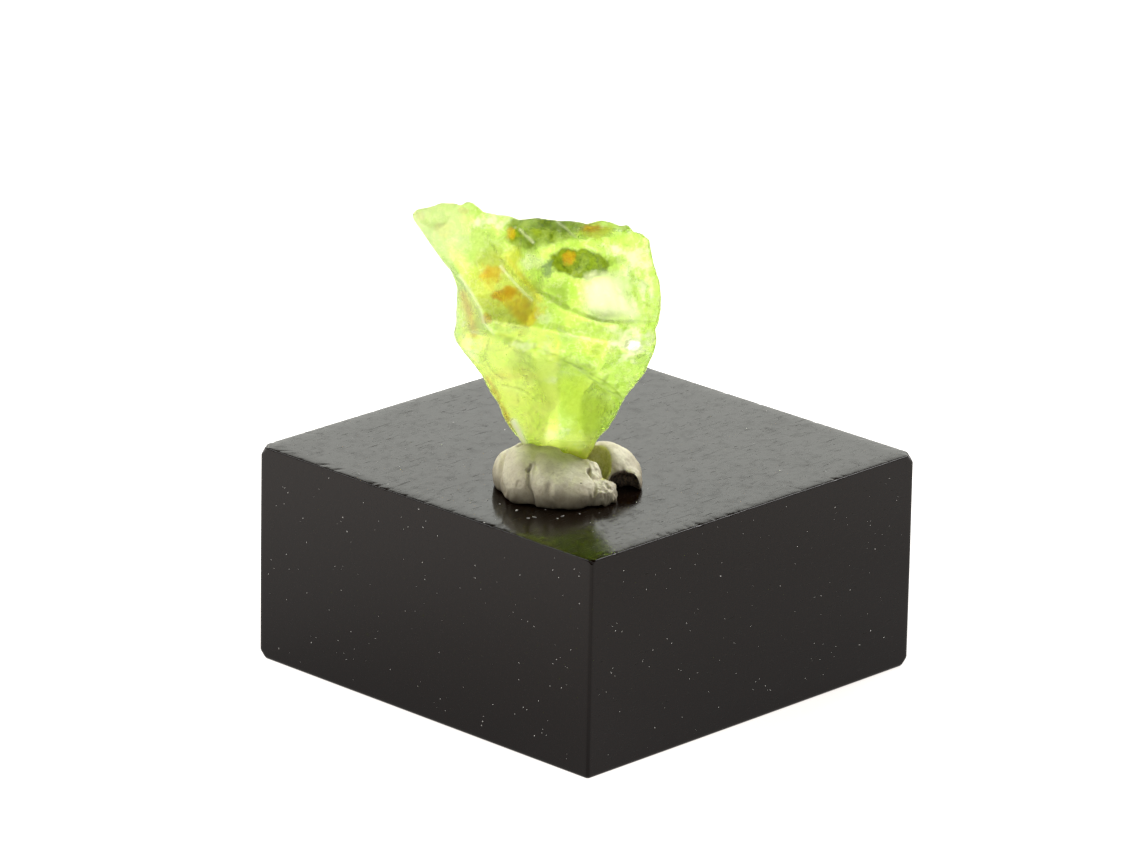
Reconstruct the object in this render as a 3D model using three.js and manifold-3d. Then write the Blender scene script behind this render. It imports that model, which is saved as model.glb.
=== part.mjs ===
// A rough peridot fragment that stands on its point in a pinch of grey putty, on a black display block.
// Millimetres, +Z up. The origin is the centre of the block's underside.
import * as THREE from "three";
import { ConvexGeometry } from "three/addons/geometries/ConvexGeometry.js";
import { mergeVertices } from "three/addons/utils/BufferGeometryUtils.js";
import Module from "manifold-3d";

const wasm = await Module();
wasm.setup();

// The block: an inch square and half as tall, with its edges just broken.
const BLOCK_SIDE = 25;
const BLOCK_HEIGHT = 12.2;
const BLOCK_CORNER = 0.15;
const BLOCK_BEVEL = 0.1;

// The mount is the putty's middle on top of the block, turned so that its X runs to the right
// and its Y away for a viewer who faces one upright edge of the block.
const MOUNT_X = -4.5;
const MOUNT_Y = -3.0;
const FACING = THREE.MathUtils.degToRad(-45.9);

// The stone's own frame has X to the right, Y into the stone and Z up its face, which leans
// back. Its zero is the stone's visible point.
const LEAN_BACK = THREE.MathUtils.degToRad(19);
const LEAN_LEFT = THREE.MathUtils.degToRad(1);
const POINT_RIGHT = 0.7;
const POINT_HEIGHT = 1.2;

const GAP = 0.3; // kept between neighbours
const BALL_STEP = 0.5; // the longest facet of a rounded surface
const TO_VIEWER = new THREE.Vector3(0, -1, 0);
const FROM_VIEWER = new THREE.Vector3(0, 1, 0);
const DOWN = new THREE.Vector3(0, 0, -1);

// The stone's outline on its face, from the tip of the horn clockwise.
const TOP_EDGE = [
  [-8.95, 12.95], [-8.7, 13.22], [-7.85, 13.4], [-7.4, 13.57], [-6.7, 13.53], [-6.4, 13.42],
  [-6.1, 13.63], [-5.75, 13.57], [-5.25, 13.12], [-4.55, 12.95], [-3.9, 12.9], [-3.3, 12.7],
  [-2.3, 12.8], [-1.3, 12.65], [-0.5, 12.65], [0.2, 12.5], [1.0, 12.7], [1.5, 12.6],
  [2.0, 12.4], [2.4, 12.45], [2.7, 12.1], [3.15, 12.0],
];
const RIGHT_EDGE = [
  [3.5, 11.7], [3.6, 11.1], [3.75, 10.35], [4.05, 9.45], [4.12, 8.7], [4.1, 8.0], [3.98, 7.25],
  [3.82, 6.95], [3.88, 6.4], [3.78, 5.8], [3.5, 5.25], [3.3, 4.75], [2.9, 4.2], [2.65, 3.95],
  [2.3, 3.5], [2.05, 3.05], [1.7, 2.3], [1.3, 1.7], [0.87, 1.3], [0.45, 0.55], [0.22, 0.2],
];
const FOOT_EDGE = [[0.05, -0.2], [-0.6, -0.3], [-1.75, -0.05], [-2.7, 0.4]];
const LEFT_EDGE = [
  [-3.15, 0.95], [-3.6, 1.5], [-4.15, 2.3], [-4.45, 3.1], [-4.85, 3.65], [-5.27, 4.5],
  [-5.68, 5.1], [-6.13, 5.62], [-6.66, 6.35], [-6.77, 6.75], [-6.63, 7.35], [-6.6, 8.2],
  [-6.57, 9.1], [-6.71, 9.6], [-6.92, 10.05], [-7.2, 10.35], [-7.53, 10.8], [-7.78, 11.15],
  [-8.23, 11.8], [-8.8, 12.6],
];
const BLANK_FRONT = -10;
const BLANK_BACK = 5;

// Flat breaks. Each is a plane through three points of the face that it leaves.
const FRONT_BREAKS = [
  [[-5.2, -5.75, 7.3], [-6.6, -5.9, 12.5], [2.2, -4.6, 7.4]], // the upper face
  [[-3.4, -5.45, 7.1], [1.5, -4.75, 6.3], [2.1, -2.9, 3.5]], // the band between ledge and step
  [[-6.5, -5.9, 9.77], [-4.68, -5.5, 6.66], [-6.7, -4.3, 6.5]], // the rust-stained face on the left
  [[-8.2, -6.15, 12.9], [-6.5, -5.9, 9.9], [-8.9, -5.6, 12.6]], // the thin edge of the horn
];
const BACK_BREAKS = [
  [[-4.0, 0.25, 5.0], [3.5, 0.05, 5.0], [0.0, 0.6, 12.0]], // the middle of the back
  [[-8.9, -4.9, 12.95], [-3.15, -0.75, 0.95], [-4.0, -1.9, 12.3]], // behind the horn and the left edge
  [[4.1, -2.2, 8.0], [3.5, -1.75, 11.5], [1.5, -0.75, 8.0]], // behind the right edge
  [[-4.0, -3.4, 12.95], [2.0, -3.0, 12.6], [0.0, 1.9, 11.2]], // the slope behind the top edge
];

// Under the step the lower faces lie back. They meet in a keel that runs down to the point.
const LOWER_FACES = [
  [[-0.4, -0.95, 0.2], [-2.1, -3.5, 4.2], [2.08, -2.3, 3.4]],
  [[-0.4, -0.95, 0.2], [-2.1, -3.5, 4.2], [-4.5, -2.5, 3.2]],
];
const STEP_UNDERSIDES = [
  [[-4.68, -5.8, 7.1], [0.21, -4.3, 5.24], [-2.3, -3.7, 5.4]],
  [[0.3, -3.8, 4.75], [2.08, -2.7, 3.46], [0.9, -2.4, 3.75]],
];

// Shell-shaped breaks, each a ball taken out of the face. middle and reach are those of the round
// edge that it leaves, out is the way that the face looks, and sink is how far the hollow goes in.
const HOLLOWS = [
  { middle: [2.5, -4.45, 15.5], reach: 8.15, out: [0.153, -0.988, 0.013], sink: 0.8 }, // over the ledge
  { middle: [-7.6, -6.1, 12.9], reach: 1.6, out: [-0.1, -0.96, 0.25], sink: 0.3 }, // on the horn
  { middle: [0.6, -0.15, 7.8], reach: 2.8, out: [0.2, 0.95, -0.05], sink: 0.4 }, // on the back
  { middle: [-5.2, -2.8, 9.4], reach: 2.4, out: [-0.5, 0.85, 0.05], sink: 0.35 }, // behind the horn
];

// The putty is a squeezed roll in front of the stone's foot and a curled lump behind it on the
// right. Each lump is an ellipsoid, placed from the mount.
const PUTTY_LUMPS = [
  { at: [-0.9, -1.5, 0.6], radii: [2.6, 2.8, 1.1] }, // the whole roll
  { at: [-2.9, -0.75, 0.8], radii: [1.2, 1.7, 1.2] }, // its small left end
  { at: [-2.4, -1.5, 0.85], radii: [1.3, 2.55, 1.6] }, // left of the deep crease
  { at: [-1.2, -1.65, 0.8], radii: [1.45, 2.85, 1.5] }, // right of it
  { at: [-0.55, -1.85, 0.75], radii: [1.4, 2.85, 1.3] },
  { at: [0.1, -2.0, 0.65], radii: [1.65, 2.7, 1.05] }, // lower, in front of the stone's point
  { at: [1.0, -1.3, 0.8], radii: [0.85, 1.1, 0.8] },
  { at: [1.5, -2.75, 0.42], radii: [1.15, 1.3, 0.62] }, // its torn end
  { at: [-0.7, 1.0, 0.6], radii: [2.4, 1.8, 1.4] }, // the back
  { at: [1.85, 0.3, -0.15], radii: [2.12, 1.9, 2.3] }, // the curled lump
  { at: [3.35, -0.7, 0.2], radii: [0.62, 1.0, 0.9] }, // the curl's front end
];

// Torn hollows: inside the curled lump, and under its front edge.
const PUTTY_HOLLOWS = [
  { at: [1.5, -0.85, 1.35], radii: [0.72, 1.1, 1.3] },
  { at: [2.95, -1.5, 0.35], radii: [0.85, 0.85, 0.75] },
];

// The crest that stands in front of the inner hollow, right of the stone's foot.
const PUTTY_CREST = { at: [1.1, -1.6, 0.85], radii: [0.65, 0.8, 0.9] };

// A solid from a closed geometry, with only its positions kept.
function solidOf(geometry) {
  const bare = geometry.clone();
  bare.deleteAttribute("normal");
  bare.deleteAttribute("uv");
  const merged = mergeVertices(bare, 1e-5);
  return new wasm.Manifold(
    new wasm.Mesh({
      numProp: 3,
      vertProperties: new Float32Array(merged.attributes.position.array),
      triVerts: new Uint32Array(merged.index.array),
    }),
  );
}

function geometryOf(solid) {
  const { vertProperties, triVerts } = solid.getMesh();
  const geometry = new THREE.BufferGeometry();
  geometry.setAttribute("position", new THREE.BufferAttribute(vertProperties, 3));
  geometry.setIndex(new THREE.BufferAttribute(triVerts, 1));
  geometry.computeVertexNormals();
  return geometry;
}

function placed(geometry, position, rotation = new THREE.Quaternion(), scale = [1, 1, 1]) {
  const matrix = new THREE.Matrix4().compose(
    new THREE.Vector3(...position), rotation, new THREE.Vector3(...scale),
  );
  return geometry.clone().applyMatrix4(matrix);
}

function ball(centre, radii) {
  const around = Math.max(16, Math.round((2 * Math.PI * Math.max(...radii)) / BALL_STEP));
  const unit = new THREE.SphereGeometry(1, around, Math.round(around / 2));
  return solidOf(placed(unit, centre, undefined, radii));
}

// A slab far wider than the stone, on the side of a three-point plane that faces the given way.
function beyond(points, way) {
  const SPAN = 60;
  const plane = new THREE.Plane().setFromCoplanarPoints(...points.map((p) => new THREE.Vector3(...p)));
  if (plane.normal.dot(way) < 0) plane.negate();
  const turn = new THREE.Quaternion().setFromUnitVectors(new THREE.Vector3(0, 0, 1), plane.normal);
  const centre = plane.coplanarPoint(new THREE.Vector3()).addScaledVector(plane.normal, SPAN / 2);
  return solidOf(placed(new THREE.BoxGeometry(SPAN, SPAN, SPAN), centre.toArray(), turn));
}

function stoneBlank() {
  const outline = [...TOP_EDGE, ...RIGHT_EDGE, ...FOOT_EDGE, ...LEFT_EDGE];
  const shape = new THREE.Shape(outline.map(([x, z]) => new THREE.Vector2(x, z)));
  const slab = new THREE.ExtrudeGeometry(shape, {
    depth: BLANK_BACK - BLANK_FRONT,
    bevelEnabled: false,
  });
  slab.rotateX(Math.PI / 2);
  slab.translate(0, BLANK_BACK, 0);
  return solidOf(slab);
}

function stone() {
  let solid = stoneBlank();
  for (const face of FRONT_BREAKS) solid = solid.subtract(beyond(face, TO_VIEWER));
  for (const face of BACK_BREAKS) solid = solid.subtract(beyond(face, FROM_VIEWER));
  let lower = LOWER_FACES.map((face) => beyond(face, TO_VIEWER)).reduce((a, b) => a.add(b));
  for (const face of STEP_UNDERSIDES) lower = lower.intersect(beyond(face, DOWN));
  solid = solid.subtract(lower);
  for (const { middle, reach, out, sink } of HOLLOWS) {
    const radius = (reach * reach + sink * sink) / (2 * sink);
    const way = new THREE.Vector3(...out).normalize();
    const centre = new THREE.Vector3(...middle).addScaledVector(way, radius - sink);
    solid = solid.subtract(ball(centre.toArray(), [radius, radius, radius]));
  }
  return solid;
}

// The stone's foot with a clearance all round, in the mount's frame.
function footRoom(stoneGeometry, stonePose) {
  const TALLEST = 4;
  const corner = new THREE.Vector3();
  const points = [];
  const position = stoneGeometry.attributes.position;
  for (let i = 0; i < position.count; i += 1) {
    corner.fromBufferAttribute(position, i).applyMatrix4(stonePose);
    if (corner.z > TALLEST) continue;
    for (const x of [-GAP, GAP]) {
      for (const y of [-GAP, GAP]) {
        for (const z of [-GAP, GAP]) points.push(corner.clone().add(new THREE.Vector3(x, y, z)));
      }
    }
  }
  return solidOf(new ConvexGeometry(points));
}

function putty(room) {
  const SPAN = 40;
  let solid = PUTTY_LUMPS.map(({ at, radii }) => ball(at, radii)).reduce((a, b) => a.add(b));
  for (const { at, radii } of PUTTY_HOLLOWS) solid = solid.subtract(ball(at, radii));
  solid = solid.add(ball(PUTTY_CREST.at, PUTTY_CREST.radii));
  const under = new THREE.BoxGeometry(SPAN, SPAN, SPAN).translate(0, 0, GAP - SPAN / 2);
  return solid.subtract(solidOf(under)).subtract(room);
}

function block() {
  const half = BLOCK_SIDE / 2;
  const turn = half - BLOCK_CORNER;
  const shape = new THREE.Shape();
  shape.absarc(turn, turn, BLOCK_CORNER, 0, Math.PI / 2);
  shape.absarc(-turn, turn, BLOCK_CORNER, Math.PI / 2, Math.PI);
  shape.absarc(-turn, -turn, BLOCK_CORNER, Math.PI, 1.5 * Math.PI);
  shape.absarc(turn, -turn, BLOCK_CORNER, 1.5 * Math.PI, 2 * Math.PI);
  const geometry = new THREE.ExtrudeGeometry(shape, {
    depth: BLOCK_HEIGHT - 2 * BLOCK_BEVEL,
    bevelThickness: BLOCK_BEVEL,
    bevelSize: BLOCK_BEVEL,
    bevelOffset: -BLOCK_BEVEL,
    bevelSegments: 3,
    curveSegments: 6,
  });
  return geometry.translate(0, 0, BLOCK_BEVEL);
}

function named(name, geometry, look) {
  const mesh = new THREE.Mesh(geometry, new THREE.MeshStandardMaterial(look));
  mesh.name = name;
  return mesh;
}

const specimen = new THREE.Group();
const mount = new THREE.Group();
mount.position.set(MOUNT_X, MOUNT_Y, BLOCK_HEIGHT);
mount.rotation.z = FACING;

const peridot = named("peridot", geometryOf(stone()), { color: 0xa9d62c, roughness: 0.15, metalness: 0 });
peridot.position.set(POINT_RIGHT, 0, POINT_HEIGHT);
peridot.rotation.set(-LEAN_BACK, -LEAN_LEFT, 0, "XYZ");
peridot.updateMatrix();
mount.add(peridot);

const socket = footRoom(peridot.geometry, peridot.matrix);
mount.add(named("putty", geometryOf(putty(socket)), { color: 0xb8ae9a, roughness: 0.75, metalness: 0 }));

specimen.add(mount);
specimen.add(named("display_block", block(), { color: 0x14110f, roughness: 0.2, metalness: 0 }));

export default specimen;
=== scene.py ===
import math
import random

import bmesh
import bpy
import numpy as np
from mathutils import Matrix, Vector, noise
from mathutils.bvhtree import BVHTree


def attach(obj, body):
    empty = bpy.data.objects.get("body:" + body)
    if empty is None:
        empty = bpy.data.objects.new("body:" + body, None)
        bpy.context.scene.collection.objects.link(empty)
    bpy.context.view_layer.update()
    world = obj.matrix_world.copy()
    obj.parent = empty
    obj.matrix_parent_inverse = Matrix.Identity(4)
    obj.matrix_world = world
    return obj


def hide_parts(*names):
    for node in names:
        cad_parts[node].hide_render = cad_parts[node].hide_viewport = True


# Everything is built in millimetres in a local frame and set down in metres.
MM = 0.001

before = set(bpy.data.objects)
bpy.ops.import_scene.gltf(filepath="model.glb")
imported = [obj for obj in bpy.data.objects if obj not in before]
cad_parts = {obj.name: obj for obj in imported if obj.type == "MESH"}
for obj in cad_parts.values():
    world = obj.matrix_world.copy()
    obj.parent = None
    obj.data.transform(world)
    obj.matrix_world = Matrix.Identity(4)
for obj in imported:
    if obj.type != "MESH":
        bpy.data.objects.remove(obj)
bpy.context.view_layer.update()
dice = random.Random(41)

# The camera of the photograph, fitted to the block's corners.
CAMERA_AZIMUTH = math.radians(-45.928)
CAMERA_ELEVATION = math.radians(18.984)
CAMERA_ROLL = math.radians(1.012)
CAMERA_DISTANCE = 422.35
CAMERA_TARGET = Vector((2.298, 3.566, 12.009))
CAMERA_LENS = 244.67
CAMERA_SENSOR = 36.0

# The block, and the places of the putty and the stone on it, as in the part's source.
BLOCK_SIDE = 25.0
BLOCK_HEIGHT = 12.2
MOUNT_PLACE = Vector((-4.5, -3.0, BLOCK_HEIGHT))
FACING = math.radians(-45.9)
LEAN_BACK = math.radians(19)
LEAN_LEFT = math.radians(1)
POINT_PLACE = Vector((0.7, 0.0, 1.2))

MOUNT = Matrix.Translation(MOUNT_PLACE) @ Matrix.Rotation(FACING, 4, "Z")
STONE = (
    MOUNT @ Matrix.Translation(POINT_PLACE)
    @ Matrix.Rotation(-LEAN_BACK, 4, "X") @ Matrix.Rotation(-LEAN_LEFT, 4, "Y")
)

UP = Vector((0, 0, 1))


# Shapes on arrays of points

def grain(points, size, seed):
    """Smooth noise between about -1 and 1 at each point, with lumps of the given size."""
    shift = Vector((seed * 3.7, seed * 1.9, seed * 5.3))
    return np.array([noise.noise(Vector(p) / size + shift) for p in points])


def rubble(points, size, octaves, seed):
    """Noise with finer noise on top of it."""
    shift = Vector((seed * 2.3, seed * 4.1, seed * 1.7))
    return np.array([noise.fractal(Vector(p) / size + shift, 0.9, 2.0, octaves) for p in points])


def rise(values, low, high):
    """0 below low, 1 above high and smooth between them."""
    t = np.clip((values - low) / (high - low), 0, 1)
    return t * t * (3 - 2 * t)


def most(*values):
    """The largest of the values at each point."""
    return np.maximum.reduce(values)


def off_line(flat, line):
    """The distance of each flat point from a line through the given corners."""
    best = np.full(len(flat), 1e9)
    for a, b in zip(line, line[1:]):
        a, b = np.array(a), np.array(b)
        d = b - a
        t = np.clip(((flat - a) @ d) / (d @ d), 0, 1)
        best = np.minimum(best, np.linalg.norm(flat - a - t[:, None] * d, axis=1))
    return best


def lined(flat, line, width):
    """1 on a line through the given corners, fading to 0 beside it."""
    return np.exp(-(off_line(flat, line) / width) ** 2)


def in_spot(flat, x, y, rx, ry):
    """1 in the middle of an oval spot, 0 on its rim and below 0 outside."""
    return 1 - np.hypot((flat[:, 0] - x) / rx, (flat[:, 1] - y) / ry)


def arrays(mesh):
    """The points of a mesh and their normals."""
    places = np.zeros(len(mesh.vertices) * 3, np.float32)
    normals = np.zeros(len(mesh.vertices) * 3, np.float32)
    mesh.vertices.foreach_get("co", places)
    mesh.vertex_normals.foreach_get("vector", normals)
    return places.reshape(-1, 3).astype(float), normals.reshape(-1, 3).astype(float)


def put_back(mesh, places):
    """Moves the points of a mesh to the given places."""
    mesh.vertices.foreach_set("co", places.astype(np.float32).ravel())
    mesh.update()


def mark(mesh, name, values):
    """Keeps a number on each point for the material to read."""
    layer = mesh.attributes.new(name, "FLOAT", "POINT")
    layer.data.foreach_set("value", np.clip(values, 0, 1).astype(np.float32))


def relax(mesh, rounds, share=0.5):
    """Evens out the points of a mesh."""
    shape = bmesh.new()
    shape.from_mesh(mesh)
    for _ in range(rounds):
        bmesh.ops.smooth_vert(
            shape, verts=shape.verts, factor=share, use_axis_x=True, use_axis_y=True, use_axis_z=True,
        )
    shape.to_mesh(mesh)
    shape.free()
    mesh.update()


def new_piece(name, data):
    """A mesh, a light or a camera, placed in the scene."""
    piece = bpy.data.objects.new(name, data)
    bpy.context.scene.collection.objects.link(piece)
    return piece


def new_mesh(name, shape):
    """The mesh of a finished bmesh."""
    mesh = bpy.data.meshes.new(name)
    shape.to_mesh(mesh)
    shape.free()
    return mesh


def fine_piece(name, node, local, voxel):
    """A finely meshed copy of a CAD node, in millimetres in the given local frame."""
    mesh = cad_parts[node].data.copy()
    mesh.transform(local.inverted() @ Matrix.Scale(1 / MM, 4))
    mesh.materials.clear()
    piece = new_piece(name, mesh)
    remesh = piece.modifiers.new("fine", "REMESH")
    remesh.mode = "VOXEL"
    remesh.voxel_size = voxel
    made = bpy.data.meshes.new_from_object(piece.evaluated_get(bpy.context.evaluated_depsgraph_get()))
    piece.modifiers.clear()
    piece.data = made
    made.name = name
    return piece


def set_down(piece, local, material, replaced=None):
    """Puts a piece that was made in millimetres in a local frame in its place on the part."""
    piece.data.transform(Matrix.Scale(MM, 4) @ local)
    piece.data.materials.append(material)
    piece.data.shade_smooth()
    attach(piece, "root")
    if replaced:
        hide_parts(replaced)


# Materials

class Look:
    """A material and short ways to add nodes to it."""

    def __init__(self, name):
        self.material = bpy.data.materials.new(name)
        self.material.use_nodes = True
        self.tree = self.material.node_tree
        self.tree.nodes.clear()
        self.out = self.add("ShaderNodeOutputMaterial")
        place = self.add("ShaderNodeTexCoord").outputs["Object"]
        scaled = self.add("ShaderNodeVectorMath", {0: place, "Scale": 1 / MM}, operation="SCALE")
        self.place = scaled.outputs[0]

    def add(self, kind, inputs=None, **settings):
        """A new node. Each input is a value or the socket that it is linked to."""
        node = self.tree.nodes.new(kind)
        for key, value in settings.items():
            setattr(node, key, value)
        for key, value in (inputs or {}).items():
            if isinstance(value, bpy.types.NodeSocket):
                self.tree.links.new(value, node.inputs[key])
            else:
                node.inputs[key].default_value = value
        return node

    def noise(self, scale, detail=3.0, roughness=0.55, place=None):
        """Noise about 0.5, with about as many lumps in a millimetre as its scale says."""
        inputs = {"Vector": place or self.place, "Scale": scale, "Detail": detail, "Roughness": roughness}
        return self.add("ShaderNodeTexNoise", inputs).outputs["Fac"]

    def band(self, value, low, high, to_low=0.0, to_high=1.0):
        """Stretches the range between low and high to another one and holds its ends."""
        inputs = {"Value": value, "From Min": low, "From Max": high, "To Min": to_low, "To Max": to_high}
        return self.add("ShaderNodeMapRange", inputs).outputs["Result"]

    def maths(self, a, b, operation="ADD", clamp=False):
        """Two values added, or joined by another operation."""
        return self.add("ShaderNodeMath", {0: a, 1: b}, operation=operation, use_clamp=clamp).outputs[0]

    def mix(self, share, a, b):
        """Colour a where the share is 0 and colour b where it is 1."""
        node = self.tree.nodes.new("ShaderNodeMix")
        node.data_type = "RGBA"
        for key, value in ((0, share), (6, a), (7, b)):
            if isinstance(value, bpy.types.NodeSocket):
                self.tree.links.new(value, node.inputs[key])
            else:
                node.inputs[key].default_value = value if key == 0 else (*value, 1)
        return node.outputs[2]

    def marked(self, name, share=1.0):
        """A number kept on the mesh, or a share of it."""
        value = self.add("ShaderNodeAttribute", attribute_name=name).outputs["Fac"]
        return value if share == 1.0 else self.maths(value, share, "MULTIPLY")

    def bump(self, height, distance, strength, normal=None):
        """Bumps, with their distance in millimetres, on top of other bumps where those are given."""
        inputs = {"Height": height, "Distance": distance * MM, "Strength": strength}
        if normal:
            inputs["Normal"] = normal
        return self.add("ShaderNodeBump", inputs).outputs["Normal"]

    def finish(self, **values):
        """The material, with these inputs of its shader. A blank in an input's name is written _ here."""
        inputs = {key.replace("_", " "): value for key, value in values.items()}
        shader = self.add("ShaderNodeBsdfPrincipled", inputs)
        self.tree.links.new(shader.outputs[0], self.out.inputs["Surface"])
        return self.material


# The stone

STONE_VOXEL = 0.07

# Ball-shaped breaks of the part's source, kept exactly round here: middle, reach, way out and depth.
HOLLOWS = [
    ((2.5, -4.45, 15.5), 8.15, (0.153, -0.988, 0.013), 0.8),
    ((0.6, -0.15, 7.8), 2.8, (0.2, 0.95, -0.05), 0.4),
    ((-5.2, -2.8, 9.4), 2.4, (-0.5, 0.85, 0.05), 0.35),
]
# Points nearer to a ball than this are moved onto it.
BALL_NEAR = 0.05

# Lines on the stone's face, in its own frame: X to the right and Z up.
LEDGE = [
    (-3.9, 10.2), (-2.5, 9.1), (-1.65, 8.75), (-0.76, 8.2), (0.12, 7.78), (0.84, 7.48), (1.64, 7.4),
    (2.6, 7.42), (3.6, 7.36),
]
SECOND_LEDGE = [(-2.5, 7.75), (-1.4, 7.2), (-0.7, 6.95), (0.4, 6.85), (1.3, 7.0)]
STEP = [
    (-4.5, 6.9), (-3.43, 6.2), (-1.83, 5.7), (-0.76, 5.35), (0.21, 5.2), (0.5, 4.6), (1.46, 4.05),
    (2.08, 3.46),
]
RIDGE = [(-6.5, 9.77), (-5.83, 8.79), (-5.39, 7.99), (-5.21, 7.28), (-4.68, 6.66)]
BRIGHT_CRACK = [(-4.3, 10.25), (-3.9, 9.75), (-3.4, 9.2), (-2.95, 8.75), (-2.65, 8.5)]
LOWER_CRACKS = [
    [(-5.0, 6.4), (-5.2, 5.5), (-4.85, 4.8), (-4.3, 4.35)],
    [(-4.3, 4.0), (-3.45, 3.8), (-2.9, 3.55), (-2.55, 3.2)],
    [(0.4, 4.6), (1.2, 4.2), (1.75, 3.75), (2.1, 3.3)],
]
RIGHT_CRACKS = [
    [(2.23, 11.43), (2.54, 11.32)],
    [(2.46, 10.37), (2.65, 10.3)],
    [(2.7, 9.75), (3.0, 9.57), (3.45, 9.3)],
    [(1.7, 9.15), (2.0, 8.84)],
    [(3.2, 8.4), (3.55, 8.2), (3.9, 7.9)],
    [(-1.95, 2.0), (-1.5, 1.96)],
]
CRACKS = [*LOWER_CRACKS, *RIGHT_CRACKS]
BROWN_LINE = [(-5.04, 4.4), (-4.6, 3.6), (-4.3, 2.9), (-3.7, 1.8)]
PALE_WEDGE = [(-3.65, 2.05), (-3.07, 0.93)]
SALMON_LINE = [(-6.3, 8.8), (-5.95, 7.8), (-5.7, 6.7)]
BROWN_BAND = [(-3.95, 10.7), (-3.25, 9.7), (-2.65, 9.0), (-2.3, 8.5)]
PALE_LINES = [
    [(-1.35, 12.65), (-0.9, 12.3), (-0.36, 11.8)],
    [(0.18, 11.36), (0.71, 11.13)],
    [(-1.3, 6.95), (-0.5, 6.6), (0.4, 6.4)],
    [(-1.2, 4.75), (-0.3, 4.55), (0.4, 4.6), (1.0, 3.9)],
    [(-3.3, 12.2), (-2.6, 11.5)],
]

# Lines that stand out from the face or are sunk into it: the line, its width and its height.
RELIEF = [
    (RIDGE, 0.12, 0.04),
    (LEDGE, 0.1, -0.015),
    (SECOND_LEDGE, 0.15, -0.01),
    (BRIGHT_CRACK, 0.07, -0.02),
    *((crack, 0.06, -0.02) for crack in CRACKS),
]
RIB_SPACING = 0.55

# Patches of the stone's face, as outlines in its own frame.
DARK_PATCH = [
    (-3.95, 11.4), (-3.98, 12.4), (-3.5, 13.2), (-0.2, 13.2), (-0.3, 12.2), (-0.6, 11.7), (-1.7, 11.3),
    (-2.9, 11.1),
]
LENS_PATCH = [
    (-1.85, 10.95), (-0.95, 11.15), (-0.05, 11.25), (0.9, 11.05), (1.35, 10.5), (1.25, 9.9), (0.3, 9.5),
    (-0.5, 9.7), (-1.9, 10.25),
]
# The cream patch is painted light: the bright light that shines through the thin upper right of the stone.
CREAM_PATCH = [
    (1.35, 9.85), (0.5, 9.5), (0.2, 9.0), (0.3, 8.1), (1.1, 7.65), (2.3, 7.65), (2.9, 7.7), (2.3, 8.6),
    (1.95, 9.8),
]
OCHRE_PATCH = [
    (-5.6, 10.6), (-4.5, 11.2), (-3.8, 10.8), (-2.3, 8.9), (-2.3, 7.3), (-3.4, 6.8), (-5.1, 7.3), (-5.9, 9.0),
]
DEEP_PATCH = [
    (-3.3, 5.5), (0.4, 5.0), (2.2, 3.2), (0.86, 1.0), (0.2, -0.3), (-0.55, 0.2), (-0.9, 1.3), (-0.95, 2.1),
    (-1.8, 2.9), (-2.3, 4.0), (-3.1, 4.8),
]
LIME_PATCH = [(-6.2, 6.95), (-4.2, 6.8), (-3.0, 7.05), (-1.3, 6.9), (-1.3, 0.3), (-3.4, 0.2), (-7.0, 5.5)]
# The olive of this band is painted shade under the step.
BAND_PATCH = [
    (-4.3, 6.5), (-3.5, 6.2), (-2.8, 5.75), (-1.4, 5.65), (-0.7, 5.35), (0.2, 5.25), (0.3, 4.8), (-2.2, 4.9),
    (-3.3, 5.5),
]

# Spots of colour on the stone's face: X, Z, half width, half height and strength.
RUST_SPOTS = [
    (-4.74, 9.85, 0.75, 0.6, 0.85),
    (-4.02, 8.77, 0.85, 0.5, 1.0),
    (-3.3, 8.2, 0.8, 0.5, 0.6),
    (-3.0, 7.7, 0.8, 0.6, 0.6),
    (-5.05, 7.5, 0.4, 0.35, 0.75),
    (-0.68, 10.7, 0.4, 0.42, 1.0),
    (0.56, 12.27, 0.6, 0.25, 0.9),
    (-3.75, 11.95, 0.35, 0.4, 0.6),
    (-6.3, 13.15, 0.45, 0.25, 0.4),
    (-8.5, 12.9, 0.4, 0.3, 0.4),
    (-4.2, 4.5, 0.7, 0.25, 0.3),
]
OCHRE_SPOTS = [
    (-7.3, 12.1, 0.7, 0.6, 0.5),
    (-4.9, 9.6, 0.9, 0.8, 0.8),
    (-3.9, 8.6, 1.1, 0.8, 0.9),
    (-3.0, 7.8, 1.2, 1.1, 0.9),
    (-3.6, 10.9, 0.6, 0.7, 0.5),
    (0.5, 12.2, 1.3, 0.5, 0.6),
    (0.84, 5.95, 1.1, 0.7, 0.3),
    (-3.7, 4.6, 1.8, 0.5, 0.35),
    (-5.7, 9.3, 0.6, 0.9, 0.4),
    (-5.8, 7.8, 0.9, 1.7, 0.4),
]
OLIVE_SPOTS = [
    (1.6, 10.6, 0.9, 0.3, 0.5),
    (-0.3, 12.4, 0.9, 0.35, 0.7),
    (-1.0, 5.2, 1.4, 0.35, 0.45),
    (0.05, 5.0, 0.6, 0.3, 0.6),
    (-0.75, 6.5, 0.6, 0.3, 0.35),
    (-1.9, 6.4, 0.4, 0.3, 0.25),
    (-3.8, 6.3, 0.6, 0.4, 0.3),
    (-5.1, 11.3, 1.8, 1.6, 0.5),
    (1.2, 10.4, 0.5, 0.35, 1.0),
    (0.95, 6.9, 0.35, 0.25, 0.3),
    (0.84, 5.9, 0.5, 0.4, 0.25),
]
TEAL_SPOT = (-1.88, 10.06, 0.4, 0.62)
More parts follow.
